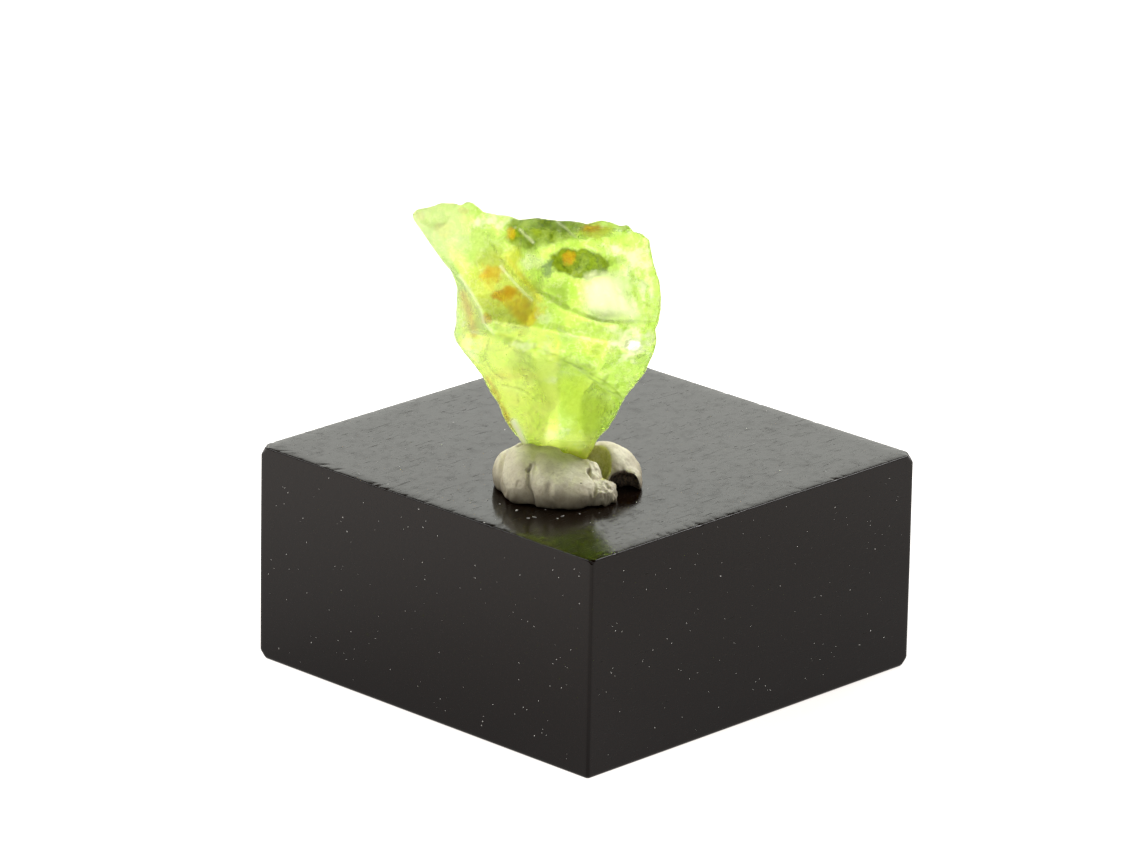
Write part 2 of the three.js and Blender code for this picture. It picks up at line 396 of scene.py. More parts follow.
# Milky spots are partly cloudy veils and partly painted light: the bright spots high on the right and the
# painted halo of the glint.
MILK_AND_HIGHLIGHT_SPOTS = [
    (1.1, 8.6, 1.1, 1.0, 1.0),
    (1.7, 11.2, 0.65, 0.4, 1.0),
    (2.9, 10.6, 0.9, 0.7, 0.5),
    (3.25, 9.15, 0.3, 0.45, 0.7),
    (-2.6, 10.5, 0.8, 0.5, 0.6),
    (2.65, 6.2, 1.5, 1.2, 1.0),
    (-3.08, 6.12, 0.7, 0.45, 0.6),
    (-1.8, 6.05, 0.8, 0.45, 0.4),
    (-4.9, 12.6, 1.3, 0.4, 0.7),
    (-2.0, 7.6, 0.5, 0.4, 0.4),
    (-1.7, 4.25, 0.5, 0.35, 0.15),
    (-1.5, 1.4, 0.9, 0.4, 0.2),
    (0.1, 0.3, 0.8, 0.9, 0.7),
    (0.5, 9.2, 0.5, 0.9, 0.5),
    (2.3, 9.6, 0.7, 0.8, 0.5),
    (-6.0, 5.8, 0.8, 1.3, 0.35),
]

# A small cleavage face low on the right that mirrors the lamp.
GLINT_MIDDLE = (2.7, -4.48, 6.12)
GLINT_SLOPES = (0.075, 0.21)
GLINT_REACH = 0.8


def kept_round(places):
    """Moves the points near a ball-shaped break onto the ball."""
    for middle, reach, out, sink in HOLLOWS:
        radius = (reach * reach + sink * sink) / (2 * sink)
        centre = np.array(middle) + np.array(Vector(out).normalized()) * (radius - sink)
        away = places - centre
        length = np.linalg.norm(away, axis=1)
        near = np.abs(length - radius) < BALL_NEAR
        places[near] = centre + away[near] * (radius / length[near])[:, None]
    return places


def stone_height(places, normals, front):
    """How far each point of the stone stands out from its plain break, in millimetres."""
    face = places[:, [0, 2]]
    x, z = face.T
    top = rise(z, 11.4, 12.6)
    horn = rise(-x, 5.2, 6.6) * rise(z, 10.0, 12.0)
    edge = rise(-np.abs(normals[:, 1]), -0.6, -0.2)
    height = 0.06 * grain(places, 1.9, 1) + 0.025 * grain(places, 0.8, 2)
    height += 0.06 * most(top, horn) * rubble(places, 0.7, 3, 3)
    height += 0.035 * (1 - front) * rubble(places, 1.3, 3, 7)
    height *= 1 - edge
    across = x + 0.25 * (z - 8)
    ribs = np.sin(across * 2 * math.pi / RIB_SPACING + 2.0 * grain(places, 1.1, 4))
    hollow = front * rise(z, 7.6, 8.4) * rise(-z, -10.5, -9.0) * rise(x, -1.5, 0.0)
    height += 0.005 * hollow * ribs
    step = front * np.exp(-((off_line(face, STEP) - 0.1) / 0.3) ** 2)
    height += step * (0.07 * rubble(places, 0.45, 4, 5) - 0.02)
    for line, width, tall in RELIEF:
        height += tall * front * lined(face, line, width)
    return height + edge * (0.035 + 0.03 * rubble(places, 0.5, 3, 6))


def glinting(places, front):
    """Turns the small cleavage face low on the right to the lamp."""
    x, y, z = GLINT_MIDDLE
    slope_x, slope_z = GLINT_SLOPES
    reach = in_spot(places[:, [0, 2]], x, z, GLINT_REACH, GLINT_REACH)
    share = front * rise(reach + 0.1 * grain(places, 0.3, 9), 0.0, 0.55)
    flat = y + slope_x * (places[:, 0] - x) + slope_z * (places[:, 2] - z)
    places[:, 1] += share * (flat - places[:, 1])
    return places


def spotted(places, face, spots, seed, ragged=1.0, soft=0.55):
    """The strength at each point of a list of ragged spots."""
    torn = ragged * (0.35 * grain(places, 0.45, seed) + 0.22 * grain(places, 0.16, seed + 1))
    total = np.zeros(len(places))
    for x, z, rx, rz, strength in spots:
        total = np.maximum(total, strength * rise(in_spot(face, x, z, rx, rz) + torn, 0.0, soft))
    return total


def patched(places, face, outline, soft, seed):
    """1 inside a ragged outline and 0 outside it."""
    closed = [*outline, outline[0]]
    crossings = np.zeros(len(face), int)
    for (x0, z0), (x1, z1) in zip(closed, closed[1:]):
        if z0 == z1:
            continue
        across = (face[:, 1] > z0) != (face[:, 1] > z1)
        crossings += across & (face[:, 0] < x0 + (face[:, 1] - z0) * (x1 - x0) / (z1 - z0))
    inside = np.where(crossings % 2 == 1, 1, -1) * off_line(face, closed)
    ragged = 0.2 * grain(places, 0.7, seed) + 0.1 * grain(places, 0.22, seed + 1)
    return rise(inside + ragged, -soft, soft)


def stone_marks(mesh, front):
    """Where the stone is rusty, dark, milky and rough, and where highlights, a glow and shade are painted on
    it.
    """
    places, normals = arrays(mesh)
    face = places[:, [0, 2]]
    x, z = face.T
    fine = 0.5 + 0.5 * grain(places, 0.2, 8)
    elsewhere = 1 - front
    foot = rise(-z, -1.7, -0.3)
    horn = rise(-x, 5.5, 7.0) * rise(z, 10.0, 12.0)
    rim = rise(-np.abs(normals[:, 1]), -0.85, -0.4) * (1 - lined(face, STEP, 0.7))
    wedge = 0.9 * lined(face, PALE_WEDGE, 0.17)

    rust = most(
        front * spotted(places, face, RUST_SPOTS, 11),
        front * 0.75 * lined(face, SALMON_LINE, 0.24),
        0.95 * lined(face, BROWN_LINE, 0.16) * rise(fine, 0.2, 0.5),
        0.3 * elsewhere * rise(rubble(places, 2.2, 4, 13), 0.5, 0.85) * rise(z, 5.0, 7.0),
    )
    ochre = most(
        front * spotted(places, face, OCHRE_SPOTS, 12),
        0.5 * front * patched(places, face, OCHRE_PATCH, 0.5, 22),
        0.8 * front * lined(face, BROWN_BAND, 0.25),
    )
    patchy = 0.8 + 0.3 * grain(places, 0.6, 25)
    olive = most(
        front * spotted(places, face, OLIVE_SPOTS, 15),
        front * (patchy + 0.12) * patched(places, face, DARK_PATCH, 0.22, 16),
        front * patched(places, face, LENS_PATCH, 0.12, 14),
        # Painted shade: olive in the band under the step and along the ledge's lip.
        0.45 * front * patchy * patched(places, face, BAND_PATCH, 0.35, 27),
        0.3 * front * lined(face, LEDGE[1:], 0.06),
        0.15 * front * lined(face, SECOND_LEDGE, 0.08),
        *[0.5 * front * lined(face, crack, 0.045) for crack in CRACKS],
    )
    leaf = most(
        front * patched(places, face, DEEP_PATCH, 0.8, 24),
        0.3 * elsewhere * rise(rubble(places, 2.6, 3, 17), 0.4, 0.9),
    )
    lime = front * patched(places, face, LIME_PATCH, 0.15, 28)
    teal = 0.85 * front * rise(in_spot(face, *TEAL_SPOT) + 0.7 * grain(places, 0.12, 21), 0.0, 0.6)

    torn, upper = rise(fine, 0.1, 0.5), rise(z, 4.0, 8.0)
    # Milk and painted highlights: painted light along the ridge, the bright crack and the stone's rim, and in
    # the cream patch, on top of milky veils.
    milk_and_highlight = most(
        front * spotted(places, face, MILK_AND_HIGHLIGHT_SPOTS, 19, 2.0, 1.1),
        0.85 * front * patched(places, face, CREAM_PATCH, 0.5, 26),
        0.5 * front * lined(face, RIDGE, 0.07),
        0.5 * front * lined(face, BRIGHT_CRACK, 0.06),
        *[0.4 * front * (lined(face, line, 0.05) * torn * upper) for line in PALE_LINES],
        wedge,
        horn * (0.15 + 0.2 * fine),
        rim * (0.3 + 0.35 * rise(z, 5.0, 8.0)),
    )
    milk_and_highlight *= 1 - foot * rise(x, -3.0, -2.3)
    milk_and_highlight *= 1 - teal
    # Painted glow: a bright lime share at the foot, the pale wedge and parts of the horn and lime patch,
    # standing in for light in the stone.
    glow = most(foot, wedge, 0.2 * horn, 0.3 * lime * rise(-z, -6.0, -3.5))

    rough = most(front * lined(face, STEP, 0.3), rise(z, 12.0, 12.7), horn * 0.7) * (0.5 + 0.5 * fine)
    reach = in_spot(face, GLINT_MIDDLE[0], GLINT_MIDDLE[2], GLINT_REACH, GLINT_REACH)
    shiny = front * rise(reach + 0.3 * grain(places, 0.3, 23), 0.1, 0.9)
    marks = {
        "hidden": elsewhere, "rust": rust, "ochre": ochre, "olive": olive, "leaf": leaf, "lime": lime,
        "milk_and_highlight": milk_and_highlight, "glow": glow, "teal": teal, "rough": rough, "shiny": shiny,
    }
    for name, values in marks.items():
        mark(mesh, name, values)


# The colour that a clear body of peridot keeps from white light, how much it takes per metre, how
# strongly it bends light, and how much light its cleanest surface lets through.
PERIDOT_KEEPS = (0.86, 0.97, 0.02)
PERIDOT_DENSITY = 120.0
PERIDOT_IOR = 1.65
PERIDOT_CLEAR = 0.96

# Wisps in the stone's colour: how fine they are, how far their noise is shifted and their tint.
WISPS = [(0.8, 0.0, (0.34, 0.6, 0.03)), (1.3, 7.0, (1.0, 1.0, 0.6))]


def stone_look():
    """The front's tints carry the colour that the photograph shows, and the back's are pale."""
    look = Look("peridot_crystal")
    cloud = look.noise(0.8, 6.0, 0.62)
    fine = look.noise(3.5, 6.0, 0.68)
    flecks = look.noise(14.0, 2.0, 0.7)
    clear = look.mix(look.band(cloud, 0.36, 0.64), (0.27, 0.55, 0.02), (0.48, 0.82, 0.085))
    clear = look.mix(look.band(fine, 0.5, 0.68, 0.0, 0.4), clear, (0.9, 1.0, 0.35))
    clear = look.mix(look.band(fine, 0.34, 0.46, 0.3, 0.0), clear, (0.22, 0.45, 0.012))
    olive = look.mix(look.band(fine, 0.38, 0.62), (0.017, 0.04, 0.0), (0.08, 0.135, 0.0002))
    leaf = look.mix(look.band(fine, 0.35, 0.65), (0.17, 0.3, 0.004), (0.26, 0.43, 0.012))
    lime = look.mix(look.band(cloud, 0.36, 0.64), (0.6, 0.96, 0.05), (0.9, 1.0, 0.13))
    ochre = look.mix(look.band(fine, 0.38, 0.62), (0.42, 0.27, 0.0003), (0.62, 0.55, 0.003))
    rust = look.mix(look.band(fine, 0.38, 0.65), (0.4, 0.12, 0.0001), (0.55, 0.3, 0.0006))
    for scale, shift, tint in WISPS:
        shifted = look.add("ShaderNodeVectorMath", {0: look.place, 1: (shift, 0, 0)}).outputs[0]
        off_middle = look.maths(look.noise(scale, 5.0, 0.6, shifted), 0.5, "SUBTRACT")
        wisp = look.band(look.maths(off_middle, 0, "ABSOLUTE"), 0.004, 0.022, 0.3, 0.0)
        clear = look.mix(wisp, clear, tint)
    behind = look.mix(look.band(cloud, 0.36, 0.64), (0.85, 0.97, 0.6), (1.0, 1.0, 0.95))
    # The bright lime of the painted glow.
    lit = look.mix(look.band(fine, 0.36, 0.64), (0.72, 0.93, 0.06), (0.92, 1.0, 0.14))
    # The milky tint also carries painted highlights, the glow tint is a painted glow, and the olive tint
    # carries some painted shade.
    shade = clear
    for name, tint in (
        ("hidden", behind), ("lime", lime), ("leaf", leaf), ("ochre", ochre), ("olive", olive),
        ("teal", (0.04, 0.09, 0.045)), ("rust", rust), ("glow", lit), ("milk_and_highlight", (1.0, 1.0, 0.9)),
    ):
        shade = look.mix(look.marked(name), shade, tint)
    shade = look.mix(look.band(flecks, 0.7, 0.76, 0.0, 0.3), shade, (0.3, 0.5, 0.05))

    shiny = look.marked("shiny")
    rough = look.band(look.noise(1.3, 3.0), 0.4, 0.7, 0.2, 0.32)
    rough = look.maths(rough, look.marked("hidden", 0.3))
    rough = look.maths(rough, look.marked("rough", 0.25))
    rough = look.maths(rough, look.marked("milk_and_highlight", 0.15), clamp=True)
    rough = look.band(shiny, 0.0, 1.0, rough, 0.04)
    clouded = look.maths(look.marked("milk_and_highlight", 0.12), look.marked("rust", 0.1))
    clouded = look.maths(clouded, look.marked("glow", 0.7))
    through = look.maths(PERIDOT_CLEAR, clouded, "SUBTRACT", clamp=True)

    calm = look.band(shiny, 0.0, 1.0, 1.0, 0.0)
    steps = look.bump(look.maths(look.noise(2.5, 5.0, 0.5), calm, "MULTIPLY"), 0.03, 0.5)
    tiny = look.bump(look.maths(look.noise(11.0, 3.0), calm, "MULTIPLY"), 0.01, 0.5, steps)
    look.finish(
        Base_Color=shade, Roughness=rough, IOR=PERIDOT_IOR, Transmission_Weight=through, Normal=tiny,
    )
    absorbs = {"Color": (*PERIDOT_KEEPS, 1), "Density": PERIDOT_DENSITY}
    volume = look.add("ShaderNodeVolumeAbsorption", absorbs)
    look.tree.links.new(volume.outputs[0], look.out.inputs["Volume"])
    return look.material


def stone():
    """The stone: breaks that are round or broken finely, its small mirror face and its marks."""
    piece = fine_piece("peridot_stone", "peridot", STONE, STONE_VOXEL)
    mesh = piece.data
    relax(mesh, 2)
    places, _ = arrays(mesh)
    put_back(mesh, kept_round(places))
    relax(mesh, 1)
    places, normals = arrays(mesh)
    front = rise(-normals[:, 1], 0.05, 0.3)
    put_back(mesh, glinting(places + normals * stone_height(places, normals, front)[:, None], front))
    relax(mesh, 1, 0.4)
    stone_marks(mesh, front)
    set_down(piece, STONE, stone_look(), "peridot")
    return piece


# The putty

PUTTY_VOXEL = 0.05

# Creases of the putty as the photograph shows them: millimetres to the right of its middle and up.
DEEP_CREASE = [(-2.0, 0.85), (-2.08, 0.6), (-2.12, 0.24), (-2.1, -0.25), (-1.94, -0.72), (-1.77, -1.1)]
LEFT_CREASE = [(-3.3, 1.75), (-3.54, 1.07), (-3.62, 0.54), (-3.54, -0.06), (-3.4, -0.4)]
FAINT_CREASE = [(-1.02, -0.17), (-1.08, -0.53), (-0.84, -1.0), (-0.72, -1.42)]
END_CREASE = [(1.05, 0.5), (1.32, 0.1), (1.4, -0.16), (1.37, -0.53), (1.25, -0.95)]
CREST_CREASE = [(1.0, 0.6), (1.2, 0.3), (1.45, 0.15), (1.95, 0.1)]
# Each crease with its depth and width.
CREASES = [
    (DEEP_CREASE, 0.12, 0.07),
    (LEFT_CREASE, 0.18, 0.08),
    (FAINT_CREASE, 0.07, 0.12),
    (END_CREASE, 0.1, 0.07),
    (CREST_CREASE, 0.1, 0.07),
]
# Each pit's place, half width, half height and depth, and the fleck's place and half sizes.
PUTTY_PITS = [
    (-2.17, 0.63, 0.16, 0.16, 0.1),
    (-2.62, -0.1, 0.25, 0.25, 0.07),
    (1.08, 0.55, 0.13, 0.24, 0.2),
    (-1.0, -1.2, 0.2, 0.15, 0.05),
]
PUTTY_FLECK = (0.64, -0.05, 0.06, 0.04)

# The torn hollows of the part's source: middle and radii.
INNER_HOLLOW = ((1.5, -0.85, 1.35), (0.72, 1.1, 1.3))
TORN_CAVITY = ((2.95, -1.5, 0.35), (0.85, 0.85, 0.75))

# The part keeps this gap under the putty, which touches the block here.
PUTTY_GAP = 0.3
# Putty that is within PRESS_NEAR of the stone is moved to a depth of PRESS in it, fading out at PRESS_FAR.
PRESS_NEAR = 0.38
PRESS_FAR = 0.55
PRESS = 0.03


def pictured(places):
    """Where the photograph shows points of the mount's frame, in millimetres right and up."""
    right = places[:, 0]
    up = places[:, 1] * math.sin(CAMERA_ELEVATION) + places[:, 2] * math.cos(CAMERA_ELEVATION)
    turn, tilt = math.cos(CAMERA_ROLL), math.sin(CAMERA_ROLL)
    return np.stack([turn * right + tilt * up, turn * up - tilt * right], 1)


def in_hollow(places, normals, hollow):
    """1 on the wall of a torn hollow, and 0 away from it."""
    middle, radii = np.array(hollow[0]), np.array(hollow[1])
    away = (places - middle) / radii
    wall = rise(-np.abs(np.linalg.norm(away, axis=1) - 1), -0.35, -0.1)
    inward = np.sum(normals * (middle - places), axis=1) / np.linalg.norm(places - middle, axis=1)
    return wall * rise(inward + 0.2 * grain(places, 0.3, 37), 0.0, 0.6)


def putty_height(places, normals, seen):
    """How far each point of the putty stands out from its plain lump, in millimetres."""
    flat = pictured(places)
    height = 0.05 * grain(places, 0.9, 31) + 0.025 * grain(places, 0.35, 32)
    height += 0.012 * rubble(places, 0.15, 4, 33)
    for line, depth, width in CREASES:
        off = off_line(flat, line)
        height -= seen * depth * np.exp(-(off / width) ** 2)
        height += seen * 0.25 * depth * np.exp(-((off - 2.2 * width) / (1.3 * width)) ** 2)
    for x, z, rx, rz, depth in PUTTY_PITS:
        height -= seen * depth * rise(in_spot(flat, x, z, rx, rz) + 0.25 * grain(places, 0.15, 35), -0.1, 0.6)
    torn = most(
        rise(flat[:, 0], 1.2, 1.6) * rise(-flat[:, 1], -0.6, -0.1) * rise(-places[:, 1], 1.2, 1.6),
        0.6 * rise(flat[:, 0], 0.9, 1.3) * rise(-places[:, 1], 0.8, 1.2),
        in_hollow(places, normals, TORN_CAVITY),
    )
    height += torn * 0.1 * rubble(places, 0.3, 4, 36)
    return height


def putty_look():
    """Grey-beige putty, with painted shade low down, in its creases and pits and in the torn hollow, and
    olive-green in the hollow next to the stone.
    """
    look = Look("mounting_putty")
    cloud = look.noise(0.9, 4.0)
    fine = look.noise(7.0, 4.0, 0.65)
    pores = look.noise(22.0, 2.0, 0.6)
    shade = look.mix(look.band(cloud, 0.35, 0.65), (0.5, 0.45, 0.31), (0.64, 0.6, 0.43))
    shade = look.mix(look.band(fine, 0.5, 0.75, 0.0, 0.6), shade, (0.36, 0.31, 0.21))
    shade = look.mix(look.band(pores, 0.66, 0.74, 0.0, 0.5), shade, (0.76, 0.72, 0.58))
    # Painted shade: the lump is darker towards the bottom.
    shade = look.mix(look.marked("low", 0.85), shade, (0.2, 0.16, 0.11))
    olive_wall = look.mix(look.band(fine, 0.35, 0.65), (0.5, 0.5, 0.13), (0.72, 0.7, 0.28))
    # Olive-green on the wall of the hollow next to the stone.
    shade = look.mix(look.marked("inner"), shade, olive_wall)
    # Painted shade on the wall of the torn hollow.
    dark = look.mix(look.band(fine, 0.4, 0.6), (0.03, 0.022, 0.016), (0.16, 0.12, 0.08))
    shade = look.mix(look.marked("torn"), shade, dark)
    # Painted shade in the creases and pits.
    shade = look.mix(look.marked("deep"), shade, (0.3, 0.26, 0.2))
    shade = look.mix(look.marked("fleck"), shade, (0.05, 0.035, 0.03))
    rough = look.band(fine, 0.3, 0.7, 0.5, 0.7)
    bumps = look.bump(fine, 0.03, 0.5)
    bumps = look.bump(pores, 0.012, 0.5, bumps)
    return look.finish(
        Base_Color=shade, Roughness=rough, IOR=1.48, Normal=bumps,
        Subsurface_Weight=0.1, Subsurface_Scale=0.4 * MM, Subsurface_Radius=(1.0, 0.8, 0.5),
    )


def putty(stone_piece):
    """The putty: creased and torn, and pressed against the stone and the block."""
    piece = fine_piece("putty_lump", "putty", MOUNT, PUTTY_VOXEL)
    mesh = piece.data
    relax(mesh, 25)
    places, normals = arrays(mesh)
    to_camera = np.array([0, -math.cos(CAMERA_ELEVATION), math.sin(CAMERA_ELEVATION)])
    seen = rise(normals @ to_camera, 0.0, 0.3)
    places = places + normals * putty_height(places, normals, seen)[:, None]

    places[:, 2] -= rise(-places[:, 2], -0.75, -0.3) * PUTTY_GAP
    to_mount = MOUNT.inverted() @ Matrix.Scale(1 / MM, 4)
    stone_points = [to_mount @ v.co for v in stone_piece.data.vertices]
    faces = [tuple(p.vertices) for p in stone_piece.data.polygons]
    near_stone = BVHTree.FromPolygons(stone_points, faces)
    for k, place in enumerate(places):
        hit, out, _, distance = near_stone.find_nearest(Vector(place), PRESS_FAR)
        if hit is None or Vector(normals[k]).dot(-out) < 0.2:
            continue
        share = rise(-distance, -PRESS_FAR, -PRESS_NEAR)
        places[k] = np.array(place) + (np.array(hit - out * PRESS) - place) * share
    put_back(mesh, places)
    relax(mesh, 1, 0.3)

    flat = pictured(places)
    pits = [rise(in_spot(flat, *PUTTY_PITS[k][:4]), 0, 0.6) for k in (0, 2)]
    # Painted shade in the deep crease and in two pits.
    mark(mesh, "deep", seen * (0.25 * lined(flat, DEEP_CREASE, 0.06) + 0.6 * most(*pits)))
    # Painted shade low on the lump, with faint blotches at random all over it.
    shaded_low = rise(-places[:, 2], -1.4, -0.1) * (0.85 + 0.4 * grain(places, 0.4, 38))
    mark(mesh, "low", most(shaded_low, 0.14 * rise(grain(places, 0.55, 39), 0.1, 0.6)))
    mark(mesh, "fleck", seen * rise(in_spot(flat, *PUTTY_FLECK), 0, 0.5))
    # Painted shade on the wall of the torn hollow.
    mark(mesh, "torn", in_hollow(places, normals, TORN_CAVITY))
    mark(mesh, "inner", in_hollow(places, normals, INNER_HOLLOW))
    set_down(piece, MOUNT, putty_look(), "putty")


# The block

BLOCK_CORNER = 0.15
FOOT_ROUND = 0.2
EDGE_STEP = 0.12

# The top falls off gently towards its edges and is broken at the very edge: inset and drop.
TOP_FALL = [
    (0.0, 0.06), (0.008, 0.04), (0.025, 0.026), (0.06, 0.018), (0.15, 0.012), (0.3, 0.007), (0.5, 0.003),
    (0.8, 0.0),
]
TOP_INSET = 1.0

# How far the wear reaches from the block's corners, and how deep it goes there.
CORNER_WEAR = 0.7
FRONT_CORNER_WEAR = 0.35
CORNER_DEPTH = 0.4

# Chips of the top edge: their depth and length, how far their band reaches up and down from its
# middle, how far below the top its middle is, and the inset at which they end.
CHIP_DEPTH = 0.05
CHIP_LENGTH = 0.35
CHIP_BAND = 0.06
CHIP_DROP = 0.03
CHIP_INSET = 0.4


def rounded_square(half, corner, step):
    """The corners of a square with round corners, with points all along its sides."""
    points = []
    turn = half - corner
    along = int(2 * turn / step)
    for quarter in range(4):
        angle = quarter * math.pi / 2
        out = Vector((math.cos(angle), math.sin(angle)))
        left = Vector((-out.y, out.x))
        for k in range(along):
            points.append(out * half + left * (-turn + 2 * turn * k / along))
        for k in range(10):
            bend = math.pi / 2 * k / 10
            points.append((out + left) * turn + corner * (out * math.cos(bend) + left * math.sin(bend)))
    return points


def block_profile():
    """Pairs of inset and height up the block's side, from the flat underside to the flat top."""
    steps = [(FOOT_ROUND + 0.1, 0.0)]
    for k in range(7):
        bend = math.pi / 2 * k / 6
        steps.append((FOOT_ROUND * (1 - math.sin(bend)), FOOT_ROUND * (1 - math.cos(bend))))
    steps += [(0.0, height) for height in (FOOT_ROUND + 0.1, FOOT_ROUND + 0.2, 0.5, BLOCK_HEIGHT / 2)]
    steps += [(0.0, BLOCK_HEIGHT - drop) for drop in (0.5, 0.4, 0.3, 0.2, 0.12)]
    steps += [(inset, BLOCK_HEIGHT - drop) for inset, drop in TOP_FALL]
    steps.append((TOP_INSET, BLOCK_HEIGHT))
    return steps


def corner_worn(place):
    """Rubs off the points close to a corner where three faces of the block meet."""
    from_middle = (place.x, place.y, place.z - BLOCK_HEIGHT / 2)
    side = Vector([math.copysign(1, value) for value in from_middle])
    reach = FRONT_CORNER_WEAR if side.x < 0 and side.y < 0 else CORNER_WEAR
    inset = BLOCK_SIDE - abs(place.x) - abs(place.y) + min(place.z, BLOCK_HEIGHT - place.z)
    worn = max(0.0, reach - inset)
    return place - side * CORNER_DEPTH * worn * worn / reach


def chipped(place, point, inset):
    """Breaks small chips out of the block's top edge, towards its middle."""
    band = max(0.0, 1 - abs(place.z - BLOCK_HEIGHT + CHIP_DROP) / CHIP_BAND)
    if inset >= CHIP_INSET or band == 0:
        return place
    chip = max(0.0, noise.fractal(place / CHIP_LENGTH, 0.9, 2.0, 3) - 0.3)
    return place + Vector((-point.x, -point.y, -BLOCK_SIDE / 2)) / BLOCK_SIDE * 2 * CHIP_DEPTH * chip * band


def tube(shape, rings):
    """Faces between rings of points, and a flat cap at each end."""
    for low, high in zip(rings, rings[1:]):
        for k in range(len(low)):
            n = (k + 1) % len(low)
            shape.faces.new((low[k], low[n], high[n], high[k]))
    shape.faces.new(rings[0][::-1])
    shape.faces.new(rings[-1])


def block_mesh():
    """The block from its flat underside to its flat top, with worn edges and corners."""
    shape = bmesh.new()
    rings = []
    for inset, height in block_profile():
        ring = []
        for point in rounded_square(BLOCK_SIDE / 2, BLOCK_CORNER, EDGE_STEP):
            inward = Vector((point.x, point.y, 0)) * (-inset / (BLOCK_SIDE / 2))
            place = Vector((point.x, point.y, height)) + inward
            ring.append(shape.verts.new(corner_worn(chipped(place, point, inset))))
        rings.append(ring)
    tube(shape, rings)
    return new_mesh("block", shape)


# Fine scratches: the way they run, how drawn out, how fine and how strong they are.
SCRATCHES = [
    (0.8, 9, 1.0, 1.0),
    (0.62, 11, 1.4, 1.0),
    (1.0, 10, 1.2, 0.9),
    (-0.16, 16, 0.5, 0.5),
    (1.76, 16, 0.45, 0.5),
    (0.75, 18, 0.3, 0.5),
]


def block_look():
    """Black and glossy, darker towards the bottom as painted shade, with fine scratches, dull blotches and
    dust.
    """
    look = Look("black_block")
    cloud = look.noise(0.3, 4.0)
    blotches = look.noise(1.4, 4.0, 0.6)
    fine = look.noise(4.0, 5.0, 0.6)
    scratches = None
    for turn, stretch, scale, share in SCRATCHES:
        drawn_out = (scale, scale * stretch, scale * stretch)
        turned = look.add("ShaderNodeMapping", {0: look.place, "Rotation": (0, 0, turn), "Scale": drawn_out})
        lines = look.band(look.noise(1.1, 2.0, 0.5, turned.outputs[0]), 0.69, 0.75, 0.0, share)
        scratches = lines if scratches is None else look.maths(scratches, lines, "MAXIMUM")
    # Painted shade: the colour is darker towards the bottom of the sides and lighter towards the top.
    height = look.add("ShaderNodeSeparateXYZ", {0: look.place}).outputs[2]
    low = look.mix(look.band(fine, 0.4, 0.7), (0.0018, 0.0002, 0.0), (0.003, 0.0004, 0.0001))
    high = look.mix(look.band(fine, 0.4, 0.7), (0.0035, 0.0012, 0.0004), (0.006, 0.0028, 0.0012))
    shade = look.mix(look.band(height, 0.0, BLOCK_HEIGHT), low, high)
    specks = look.add("ShaderNodeTexVoronoi", {"Vector": look.place, "Scale": 1.1}, feature="F1")
    dust = look.band(specks.outputs["Distance"], 0.02, 0.035, 1.0, 0.0)
    dust = look.maths(dust, look.band(look.noise(0.9, 2.0), 0.5, 0.6), "MULTIPLY")
    shade = look.mix(look.maths(dust, 0.35, "MULTIPLY"), shade, (0.5, 0.48, 0.45))
    rough = look.band(cloud, 0.35, 0.65, 0.1, 0.14)
    rough = look.maths(rough, look.band(blotches, 0.48, 0.72, 0.0, 0.12))
    rough = look.maths(rough, look.maths(scratches, 0.4, "MULTIPLY"), clamp=True)
    bumps = look.bump(scratches, -0.006, 0.5)
    bumps = look.bump(blotches, 0.006, 0.4, bumps)
    bumps = look.bump(fine, 0.004, 0.4, bumps)
    return look.finish(Base_Color=shade, Roughness=rough, IOR=1.24, Normal=bumps)


def block():
    """The display block."""
    piece = new_piece("block_body", block_mesh())
    set_down(piece, Matrix.Identity(4), block_look(), "display_block")


# Dust and lint

# Specks on the top and on each side, how far they spread and how big they are.
TOP_SPECKS = 90
TOP_SPREAD = 12
TOP_SIZES = (0.02, 0.025, 0.03, 0.05)
SIDE_SPECKS = 130
SIDE_SPREAD = 11.8
SIDE_HEIGHTS = (0.5, 11.8)
SIDE_SIZES = (0.014, 0.018, 0.022, 0.03)
# No speck lies nearer to the putty's middle than this.
PUTTY_CLEAR = 4.2

# Single specks in front of the putty: right of its middle, away from it, and size.
FRONT_DUST = [
    (-2.73, -4.7, 0.07), (-2.1, -5.9, 0.07), (0.6, -5.1, 0.05), (-4.3, -3.2, 0.05), (3.6, -3.1, 0.04),
    (-4.4, -6.7, 0.05),
]
# Fibres there: right of the putty's middle, away from it, length and angle.
FRONT_LINT = [(-1.78, -5.75, 0.24, -0.5), (-0.3, -5.5, 0.26, 0.9)]
FIBRE_THICK = 0.018
FIBRE_SIDES = 5
FIBRE_STEPS = 8


def dust_look():
    """Pale grey dust."""
    look = Look("dust")
    fine = look.noise(6.0, 3.0)
    shade = look.mix(look.band(fine, 0.4, 0.6), (0.62, 0.6, 0.56), (0.85, 0.84, 0.8))
    return look.finish(Base_Color=shade, Roughness=0.8)


def add_speck(shape, place, size, out):
    """A flattened lump of dust lying on the face that looks the given way."""
    made = bmesh.ops.create_icosphere(shape, subdivisions=1, radius=size)["verts"]
    flat = UP.rotation_difference(out).to_matrix().to_4x4()
    turn = Matrix.Rotation(dice.uniform(0, math.tau), 4, "Z")
    scale = Matrix.Diagonal((dice.uniform(0.7, 1.6), dice.uniform(0.5, 1.0), 0.45, 1))
    for vert in made:
        vert.co *= dice.uniform(0.75, 1.2)
    bmesh.ops.transform(shape, matrix=Matrix.Translation(place) @ flat @ turn @ scale, verts=made)


